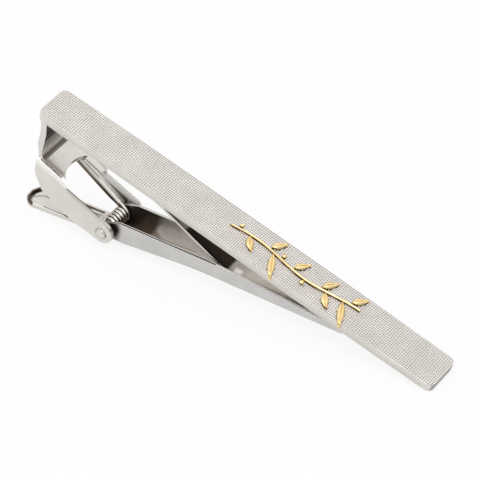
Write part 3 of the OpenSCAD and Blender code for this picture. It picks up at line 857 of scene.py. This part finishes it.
# %% Slit in the near wall
def wall_top(face):
    at = face.calc_center_median()
    on_top = (at - PIN).dot(square) > -0.9 and face.normal.dot(square) > 0.93
    return on_top and at.y < -LEVER_W / 2 + LEVER_T and (at - PIN).dot(along) > 0


edit(lever)
print("top of the near wall:", pick(lever, "FACE", wall_top))
bpy.ops.mesh.inset(thickness=0.075, depth=-0.015)
done()

# %% [markdown]
# The channel's inside gets painted shade near the pin, where it mirrors the hinge, and is painted light towards the
# jaw. Two faint painted lines run along its floor.

# %% Channel finishes
CHANNEL_LINE = (0.27, 0.24, 0.21)


def in_channel(u, y, w):
    return PIN + along * u + square * w + Vector((0, y, 0))


inside = plated("shaded channel", (0.60, 0.575, 0.545), (0.54, 0.515, 0.485), rough=(0.26, 0.36), metal=0.85,
                painted_zones=[((-9.0, 0, -8.5), (3.0, 4.0, 6.0), 3.0, (0.56, 0.53, 0.50)),
                          ((16.0, 0, -4.0), (10.0, 4.0, 5.0), 4.0, (0.86, 0.84, 0.82)),
                          ((-15.6, 0, -9.0), (3.4, 4.0, 6.0), 0.9, (0.17, 0.135, 0.11))],
                painted_lines=[(in_channel(3.3, 0.6, -1.09), in_channel(11.5, 0.45, -0.64), 0.06, CHANNEL_LINE),
                           (in_channel(4.2, 0.44, -1.06), in_channel(11.5, 0.0, -0.63), 0.06, CHANNEL_LINE)])
# The slit's dark is painted shade.
slit = plated("slit in the rim", (0.05, 0.04, 0.032), (0.035, 0.028, 0.022), rough=(0.3, 0.4))
lever_bend = plated("lever bend", (0.62, 0.60, 0.575), (0.57, 0.55, 0.525), rough=(0.45, 0.55))
print("channel finishes:", [finish.name for finish in (inside, slit, lever_bend)])

# %% [markdown]
# The tail's dish is a set of painted lines round the thumb pad, in painted shade and painted highlight: a brown
# crescent of painted shade at the round end, fine grey lines of painted shade inside it and along the near rim, a
# light streak of painted highlight on that rim, and two lines of painted shade beside the pad.

# %% Tail finish
# The colours of the painted shade and of the painted highlight on the tail.
DISH_SHADE, LINE_SHADE, RIM_HIGHLIGHT = (0.11, 0.085, 0.07), (0.33, 0.30, 0.27), (0.98, 0.965, 0.94)


def painted_path(half, tone, *path):
    """Painted lines between places on the tail: how far along it, across it and above it."""
    places = [TAIL_ROOT + tail_along * u + tail_square * h + Vector((0, y, 0)) for u, y, h in path]
    return [(start, end, half, tone) for start, end in zip(places, places[1:])]


crescent = painted_path(0.3, DISH_SHADE, (-12.5, 1.3, 0.45), (-12.76, 0.85, 0.45), (-13.0, 0.3, 0.5), (-12.86, -0.67, 0.6),
                        (-12.5, -1.34, 0.6), (-11.9, -1.95, 0.6))
pad_line = painted_path(0.10, LINE_SHADE, (-12.54, -0.36, 0.36), (-12.06, 0.11, 0.36), (-11.27, 0.43, 0.36),
                        (-10.7, 0.3, 0.36))
near_line = painted_path(0.13, LINE_SHADE, (-10.2, -1.3, 0.6), (-9.95, -1.62, 0.6), (-8.83, -1.65, 0.56), (-7.6, -1.58, 0.5),
                         (-6.3, -1.56, 0.45), (-5.2, -1.9, 0.39))
# A painted highlight along the near rim.
near_highlight = painted_path(0.11, RIM_HIGHLIGHT, (-11.5, -1.8, 0.6), (-9.7, -1.8, 0.6), (-5.5, -1.8, 0.4))
beside_pad = painted_path(0.12, LINE_SHADE, (-7.2, 0.75, 0.36), (-3.0, 0.75, 0.36))
far_line = painted_path(0.16, DISH_SHADE, (-7.2, 1.35, 0.36), (-3.0, 1.35, 0.36))
dish = crescent + pad_line + near_line + near_highlight + beside_pad + far_line
dished = plated("dished tail", NICKEL, NICKEL_WORN, rough=BRIGHT_ROUGH, painted_lines=dish)
print("pressed stretches on the tail:", len(dish))

# %% [markdown]
# Again from the smallest place to the largest: the tail's top, the near wall's top with its slit, the
# channel's inside, and last the folded corners.

# %% Painting the lever
def on_lever(at, way):
    u, w = (at - PIN).dot(along), (at - PIN).dot(square)
    tail_u, _, h = on_tail(at)
    looks_up = way.dot(square)
    if tail_u < -2.5 and h > LEVER_T - 0.05:
        return dished
    # The near wall's top: painted shade in the slit, and a painted highlight on its rims.
    if at.y < -LEVER_W / 2 + LEVER_T + 0.01 and w > -0.9 and u > 0 and looks_up > 0.5:
        return slit if abs(at.y + LEVER_W / 2 - LEVER_T / 2) < 0.05 and u < SLIT_END else highlight_rim
    between_walls = abs(at.y) < LEVER_W / 2 - LEVER_T / 2 and u > -2 and w > -LEVER_DROP + LEVER_T * 0.6
    if between_walls and (looks_up > 0.3 or way.y * at.y < -0.3 * abs(at.y)):
        return inside
    if abs(at.y) > LEVER_W / 2 - 0.36 and u > 0 and looks_up < -0.1 and abs(way.y) > 0.1:
        return lever_bend
    return None


paint(lever, on_lever, over_edges=(dished, highlight_rim))
settle(lever, lever_side, body="jaw_lever", nodes=["lever"], level=True)

# %% [markdown]
# ## The bowed leaf
# A springy strip under the bar that the lever's channel closes on. It has two flat feet, two straight runs and a wide
# bend, and is made as the lip was. Its top gets a painted reflection of the dark underside of the bar, darkest near
# the middle and lighter towards the jaw, with a small painted highlight.

# %% Leaf
LEAF_W, LEAF_T, LEAF_FOOT, LEAF_BEND_R = 2.9, 0.34, 2.6, 8
LEAF_FROM, LEAF_TO, LEAF_LOW = -16.1, 15.40, (0.281, -6.188)

leaf_z = -BAR_T - LEAF_T / 2
leaf_path = bent([(LEAF_FROM - LEAF_FOOT, leaf_z, 0), (LEAF_FROM, leaf_z, 3 * LEAF_T), (*LEAF_LOW, LEAF_BEND_R),
                  (LEAF_TO, leaf_z, 3 * LEAF_T), (LEAF_TO + LEAF_FOOT, leaf_z, 0)], steps=14)
leaf = sheet_metal("bowed_leaf", leaf_path, LEAF_W, LEAF_T, lambda station, across: (station.x, across, station.y), 0)
leaf_top = plated("shaded leaf", (0.40, 0.36, 0.32), (0.35, 0.31, 0.27), rough=(0.22, 0.32), painted_zones=[
    ((8.0, 0, -4.0), (4.5, 3.0, 3.0), 2.5, (0.52, 0.47, 0.42)),
    ((-3.4, 0, -4.0), (3.1, 3.0, 3.0), 0.45, (0.030, 0.022, 0.018)),
    ((1.05, -0.9, -4.0), (0.2, 0.3, 3.0), 0.6, (0.80, 0.78, 0.75))])
leaf.data.materials.append(bright)
paint(leaf, lambda at, way: leaf_top if abs(way.y) < 0.3 and way.z > 0.3 else None)
settle(leaf, bright, nodes=["clamp_leaf"])
print("the leaf is %.1f mm long when flat" % length_of(leaf_path))

# %% [markdown]
# ## The rivet
# A plain pin whose ends are headed over the ears. The shank is a cylinder. Each end face is extruded out
# to the head's width and lifted, and its rim is bevelled into a low dome.

# %% Rivet
EAR_SPAN, PIN_D, HEAD_D, HEAD_H = 6.36, 0.9, 1.25, 0.16

clear()
bpy.ops.mesh.primitive_cylinder_add(vertices=48, radius=PIN_D / 2, depth=EAR_SPAN, location=PIN,
                                    rotation=(math.pi / 2, 0, 0))
rivet = blank("rivet_pin")
for side in (-1, 1):
    pick(rivet, "FACE", lambda f: f.normal.y * side > 0.9)
    bpy.ops.mesh.extrude_region_move(TRANSFORM_OT_translate={"value": (0, 0, 0)})
    bpy.ops.transform.resize(value=(HEAD_D / PIN_D, 1, HEAD_D / PIN_D),
                             center_override=PIN + Vector((0, side * EAR_SPAN / 2, 0)))
    bpy.ops.mesh.extrude_region_move(TRANSFORM_OT_translate={"value": (0, side * HEAD_H, 0)})
    bpy.ops.mesh.select_mode(type="EDGE")
    bpy.ops.mesh.region_to_loop()
    round_off(HEAD_H * 0.9, 4)
done()
settle(rivet, bright, nodes=["hinge_pin"])

# %% [markdown]
# ## The spring
# Round wire, wound close around the pin, with one leg along the tail and one up under the plate. `on_coil`
# gives a point for each share of the winding, and each leg leaves the coil along its tangent.

# %% Spring path
WIRE_D, COIL_D, COIL_TURNS, COIL_HALF, COIL_STEPS = 0.46, 1.70, 5, 1.42, 200
LOW_LEG, UP_END, UP_SPLAY, LEG_STEPS = 7.0, Vector((-8.60, 0, 3.50)), 2.0, 8

coil_r = COIL_D / 2
low_angle = LEVER_ANGLE - math.pi / 2
up_angle = math.atan2(UP_END.z, UP_END.x) - math.acos(coil_r / UP_END.length)
sweep = 2 * math.pi * COIL_TURNS + up_angle - low_angle


def on_coil(share):
    a = low_angle + sweep * share
    return PIN + Vector((coil_r * math.cos(a), COIL_HALF * (2 * share - 1), coil_r * math.sin(a)))


low_leg = [on_coil(0) - along * (LOW_LEG * (1 - k / LEG_STEPS)) for k in range(LEG_STEPS)]
winding = [on_coil(k / COIL_STEPS) for k in range(COIL_STEPS + 1)]
up_leg = [on_coil(1).lerp(PIN + UP_END + Vector((0, UP_SPLAY, 0)), k / LEG_STEPS) for k in range(1, LEG_STEPS + 1)]
path = low_leg + winding + up_leg
print("wire length %.1f mm" % length_of(path))

# %% [markdown]
# A curve with a round bevel is the natural way to make wire. It ends as a mesh, because only a mesh can show several
# finishes.

# %% Spring wire
wire = bpy.data.curves.new("coil_spring", "CURVE")
wire.dimensions, wire.bevel_depth, wire.bevel_resolution, wire.use_fill_caps = "3D", WIRE_D / 2, 4, True
run = wire.splines.new("POLY")
run.points.add(len(path) - 1)
for point, where in zip(run.points, path):
    point.co = (*where, 1)
clear()
coil = bpy.data.objects.new("coil_spring", wire)
bpy.context.scene.collection.objects.link(coil)
only(coil)
bpy.ops.object.convert(target="MESH")
coil = named("coil_spring")
print("wire:", len(coil.data.polygons), "faces")

# %% [markdown]
# The turns are bright on their crests and brown on their flanks, where each mirrors the next, and the free upper leg
# is paler.

# %% Spring finishes
NO_LINES = {"stretch": (0.3, 0.3, 0.3), "relief": 0.02}

wire_steel = plated("bright wire", (0.93, 0.90, 0.87), (0.80, 0.76, 0.71), rough=(0.14, 0.22), **NO_LINES)
# The brown on the flanks is painted: shade and reflection between the turns.
wire_flank = plated("flank of the wire", (0.34, 0.275, 0.225), (0.24, 0.19, 0.155), rough=(0.24, 0.34), **NO_LINES)
drawn_leg = plated("drawn leg", (0.97, 0.955, 0.93), (0.90, 0.88, 0.85), rough=(0.28, 0.36), **NO_LINES)


def on_wire(at, way):
    if Vector((at.x - PIN.x, 0, at.z - PIN.z)).length < coil_r + 0.4:
        return wire_flank if abs(way.y) > 0.72 and at.y > -0.9 else None
    return drawn_leg if at.z > PIN.z else None


coil.data.materials.append(wire_steel)
paint(coil, on_wire)
settle(coil, wire_steel, body=None, nodes=["torsion_spring"], smooth=60)
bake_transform(coil)

# %% [markdown]
# ## The gold sprig
# A stem in gold relief sways along the bar, with eight leaves and three berries. Two leaves fold over the
# bar's near edge, so `wrapped` carries each flat place round it: along an arc, then straight down the side.

# %% Places on the sprig
STEM_X0, STEM_LEN, STEM_W, STEM_SWAY, STEM_WAVES = -2.0, 18.6, 0.42, 0.42, 1.25
RELIEF, GAP, EDGE_R = 0.36, 0.12, 0.22


def stem_y(x):
    return STEM_SWAY * math.sin(2 * math.pi * STEM_WAVES * (x - STEM_X0) / STEM_LEN)


def wrapped(x, v, h):
    edge = BAR_END_W / 2 + swell(x) - EDGE_R
    past = -v - edge
    if past <= 0:
        return Vector((x, v, h))
    a = past / EDGE_R
    if a < math.pi / 2:
        return Vector((x, -edge - (EDGE_R + h) * math.sin(a), (EDGE_R + h) * math.cos(a) - EDGE_R))
    return Vector((x, -edge - EDGE_R - h, -EDGE_R - (past - EDGE_R * math.pi / 2)))


# Painted shade: the gold turns dark brown near the bar's face, at the foot of each raised stroke.
gold = plated("gold plate", (1.0, 0.80, 0.44), (0.95, 0.72, 0.35), rough=(0.12, 0.24), haze_size=0.8, painted_zones=[
    ((7.3, 0.6, -0.1), (14.0, 3.1, 0.19), 0.07, (0.10, 0.055, 0.022))])
print("the stem runs from x = %.1f to %.1f mm" % (STEM_X0, STEM_X0 + STEM_LEN))

# %% [markdown]
# A leaf is a grid whose rows follow its outline, and whose columns rise from the rim to a full cheek and dip
# at the vein. Solidify gives the thin gold a body, so that its rim is no knife edge.

# %% A gold leaf
SECTION = [(1.0, 0.0), (0.97, 0.34), (0.78, 0.74), (0.5, 1.0), (0.22, 0.98), (0.07, 0.84), (0.0, 0.66)]
SECTION = SECTION + [(-w, h) for w, h in reversed(SECTION[:-1])]
LEAF_HALF, LEAF_SKIN = 0.49, 0.1


def gold_leaf(name, node, stem_share, side, lean, length, curl=0.0, lift=0.0, rows=30):
    lean, curl = math.radians(lean), math.radians(curl)
    x0 = STEM_X0 + STEM_LEN * stem_share
    start = Vector((x0, stem_y(x0) + side * (STEM_W / 2 + GAP), 0))
    clear()
    bpy.ops.mesh.primitive_grid_add(x_subdivisions=rows, y_subdivisions=len(SECTION) - 1, size=1)
    piece = named(name)
    for vertex in piece.data.vertices:
        s, column = vertex.co.x + 0.5, round((vertex.co.y + 0.5) * (len(SECTION) - 1))
        turned, mean = lean + curl * s, lean + curl * s / 2
        flat = start + length * s * Vector((math.cos(mean), side * math.sin(mean), 0))
        across = Vector((-side * math.sin(turned), math.cos(turned), 0)) * side
        half = LEAF_HALF * (0.12 + 0.88 * math.sin(math.pi * s ** 0.8))
        high = RELIEF * (0.5 + 0.5 * math.sin(math.pi * min(s + 0.15, 0.85)))
        w, h = SECTION[column]
        at = flat + across * half * w * side
        vertex.co = wrapped(at.x, at.y, high * h + lift)
    face_out(piece)
    if sum(face.normal.z for face in piece.data.polygons) < 0:
        piece.data.flip_normals()
    body = piece.modifiers.new("body", "SOLIDIFY")
    body.thickness, body.offset = LEAF_SKIN, -1
    apply_all(piece)
    settle(piece, gold, nodes=[node], smooth=50)


print("a leaf's section has", len(SECTION), "points")

# %% [markdown]
# Six short leaves lie on the face and two long ones fold over its edge. Each row is the share of the
# stem where a leaf starts, its side, its lean and its curl.

# %% All the leaves
FLAT_LEAVES = [(0.93, 1, 62, -22), (0.72, 1, 66, -22), (0.76, -1, 62, -22),
               (0.50, 1, 64, -22), (0.30, 1, 66, -22), (0.15, -1, 60, -20)]
for number, (share, side, lean, curl) in enumerate(FLAT_LEAVES, 1):
    gold_leaf("gold_leaf_%d" % number, "sprig_leaf_%d" % number, share, side, lean, 2.15, curl)
for number, share in ((7, 0.34), (8, 0.88)):
    gold_leaf("gold_leaf_%d" % number, "sprig_leaf_%d" % number, share, -1, 62, 3.6, lift=0.02, rows=56)

# %% [markdown]
# The stem is a cylinder, cut into rings by bisects and swayed ring by ring. Its lower half is pressed
# flat against the face, and it is thinnest at its ends.

# %% Stem
STEM_RINGS = 48

clear()
bpy.ops.mesh.primitive_cylinder_add(vertices=16, radius=1, depth=1, rotation=(0, math.pi / 2, 0), end_fill_type="NGON")
stem = blank("gold_stem")
for k in range(1, STEM_RINGS):
    cut((k / STEM_RINGS - 0.5, 0, 0), (1, 0, 0), whole=True)
done()
for vertex in stem.data.vertices:
    s = vertex.co.x + 0.5
    half = STEM_W / 2 * (0.45 + 0.55 * math.sin(math.pi * (0.08 + 0.62 * s)))
    x = STEM_X0 + STEM_LEN * s
    vertex.co = (x, stem_y(x) + vertex.co.y * half, max(vertex.co.z, 0) * RELIEF * 0.8 - 0.02)
settle(stem, gold, nodes=["sprig_stem"], smooth=60)

# %% [markdown]
# A berry is a sphere cut off where it meets the face, with a small dimple inset in its crown. Each row
# is its share of the stem and its side.

# %% Berries
BERRY_R, BERRY_SINK = 0.31, 0.02

for number, (share, side) in enumerate([(0.60, -1), (0.40, 1), (0.06, 1)], 1):
    x = STEM_X0 + STEM_LEN * share
    y = stem_y(x) + side * (STEM_W / 2 + GAP + BERRY_R)
    clear()
    bpy.ops.mesh.primitive_uv_sphere_add(segments=28, ring_count=16, radius=BERRY_R, location=(x, y, RELIEF * 0.15))
    berry = blank("gold_berry_%d" % number)
    cut((0, 0, -BERRY_SINK), (0, 0, 1), whole=True, clear_inner=True, use_fill=True)
    pick(berry, "FACE", lambda f: f.calc_center_median().z > RELIEF * 0.15 + 0.29)
    bpy.ops.mesh.inset(thickness=0.02, depth=-0.04)
    done()
    settle(berry, gold, nodes=["sprig_berry_%d" % number], smooth=50)

# %% [markdown]
# ## Camera, floor and light
# The camera stands where the photograph's did, worked out from the bar's corners and its grain, and is
# carried to the frame with the clip. A long lens from far off keeps the bar's sides nearly parallel.

# %% Camera
AZIMUTH, ELEVATION, ROLL = math.radians(21.427), math.radians(49.475), math.radians(18.351)
DISTANCE, ASIDE, BELOW, FOCAL_SHARE, SENSOR = 370.82, -0.498, -0.687, 3154.0 / 480, 36.0

back = Vector((math.sin(AZIMUTH) * math.cos(ELEVATION), -math.cos(AZIMUTH) * math.cos(ELEVATION),
               math.sin(ELEVATION)))
level = Vector((math.cos(AZIMUTH), math.sin(AZIMUTH), 0))
upright = back.cross(level)
right = level * math.cos(ROLL) + upright * math.sin(ROLL)
up = upright * math.cos(ROLL) - level * math.sin(ROLL)
clear()
bpy.ops.object.camera_add()
camera = named("camera")
camera.matrix_world = turn @ Matrix((right, up, back)).transposed().to_4x4()
camera.location = STAND @ (back * DISTANCE + right * ASIDE + up * BELOW)
camera.data.sensor_width = SENSOR
camera.data.lens = FOCAL_SHARE * SENSOR
camera.data.clip_start = 0.01
bpy.context.scene.camera = camera
print("camera at", tuple(round(v, 4) for v in camera.location))

# %% [markdown]
# The photograph's ground is pure white. The floor shows the camera a white that keeps a little real shading,
# so a faint shadow stays. Metal that mirrors the floor sees it glow a little, as on a light table.

# %% Floor
CAMERA_GLOW, MIRROR_GLOW = 0.86, 0.4


def mix_shaders(tree, share, under, over):
    node = tree.nodes.new("ShaderNodeMixShader")
    for socket, value in zip(node.inputs, (share, under, over)):
        feed(socket, value)
    return node.outputs[0]


clear()
bpy.ops.mesh.primitive_plane_add(size=0.9, location=(0, 0, 0))
floor = named("floor")
paper = bpy.data.materials.new("white paper")
paper.use_nodes = True
tree = paper.node_tree
matt, glow = tree.nodes["Principled BSDF"], tree.nodes.new("ShaderNodeEmission")
matt.inputs["Base Color"].default_value = (0.98, 0.98, 0.98, 1)
matt.inputs["Roughness"].default_value = 1.0
matt.inputs["Specular IOR Level"].default_value = 0.0
seen = tree.nodes.new("ShaderNodeLightPath").outputs
bounced = math_node(tree, "MAXIMUM", seen["Is Glossy Ray"], seen["Is Transmission Ray"])
shown = math_node(tree, "MAXIMUM", math_node(tree, "MULTIPLY", seen["Is Camera Ray"], CAMERA_GLOW),
                  math_node(tree, "MULTIPLY", bounced, MIRROR_GLOW))
feed(tree.nodes["Material Output"].inputs["Surface"], mix_shaders(tree, shown, matt.outputs[0], glow.outputs[0]))
floor.data.materials.append(paper)
print("floor of", tuple(round(v, 2) for v in floor.dimensions))

# %% [markdown]
# The world is white to the camera and a soft even light to dull surfaces. Only mirrored rays see the ramp: a
# bright sky with a warm dark band near the horizon, which gives plate its brown and grey reflections.

# %% World
SKY = [(0.0, (0.09, 0.065, 0.05)), (0.16, (0.20, 0.16, 0.13)), (0.34, (0.92, 0.91, 0.90)), (0.6, (1.0, 1.0, 1.0))]
WHITE, SOFT = (1, 1, 1, 1), 0.72

world = bpy.data.worlds.new("studio")
world.use_nodes = True
bpy.context.scene.world = world
tree = world.node_tree
sky, white, soft_light = tree.nodes["Background"], *[tree.nodes.new("ShaderNodeBackground") for _ in range(2)]
height, ramp = tree.nodes.new("ShaderNodeSeparateXYZ"), tree.nodes.new("ShaderNodeValToRGB")
feed(height.inputs[0], tree.nodes.new("ShaderNodeTexCoord").outputs["Generated"])
feed(ramp.inputs["Fac"], height.outputs["Z"])
for spot, colour in SKY:
    stop = ramp.color_ramp.elements.new(spot) if spot else ramp.color_ramp.elements[0]
    stop.color = (*colour, 1)
feed(sky.inputs["Color"], ramp.outputs["Color"])
white.inputs["Color"].default_value = soft_light.inputs["Color"].default_value = WHITE
soft_light.inputs["Strength"].default_value = SOFT
seen = tree.nodes.new("ShaderNodeLightPath").outputs
unseen = mix_shaders(tree, seen["Is Glossy Ray"], soft_light.outputs[0], sky.outputs[0])
feed(tree.nodes["World Output"].inputs["Surface"], mix_shaders(tree, seen["Is Camera Ray"], unseen, white.outputs[0]))
print("world:", world.name)

# %% [markdown]
# Two large round lamps shape the pieces: a key from the front right and a weak fill from the left. They
# are broad and close, so their shadows stay soft.

# %% Lamps
def lamp(name, at, size, power):
    clear()
    bpy.ops.object.light_add(type="AREA", location=at)
    light = named(name)
    light.data.shape, light.data.size, light.data.energy = "DISK", size, power
    light.rotation_euler = (Vector((0, 0, 0.005)) - Vector(at)).to_track_quat("-Z", "Y").to_euler()


lamp("key", (0.12, -0.10, 0.42), 0.30, 0.55)
lamp("fill", (-0.30, -0.20, 0.25), 0.25, 0.2)

# %% [markdown]
# Last, the view is set to standard colours.

# %% Standard colours
bpy.context.scene.view_settings.view_transform = "Standard"
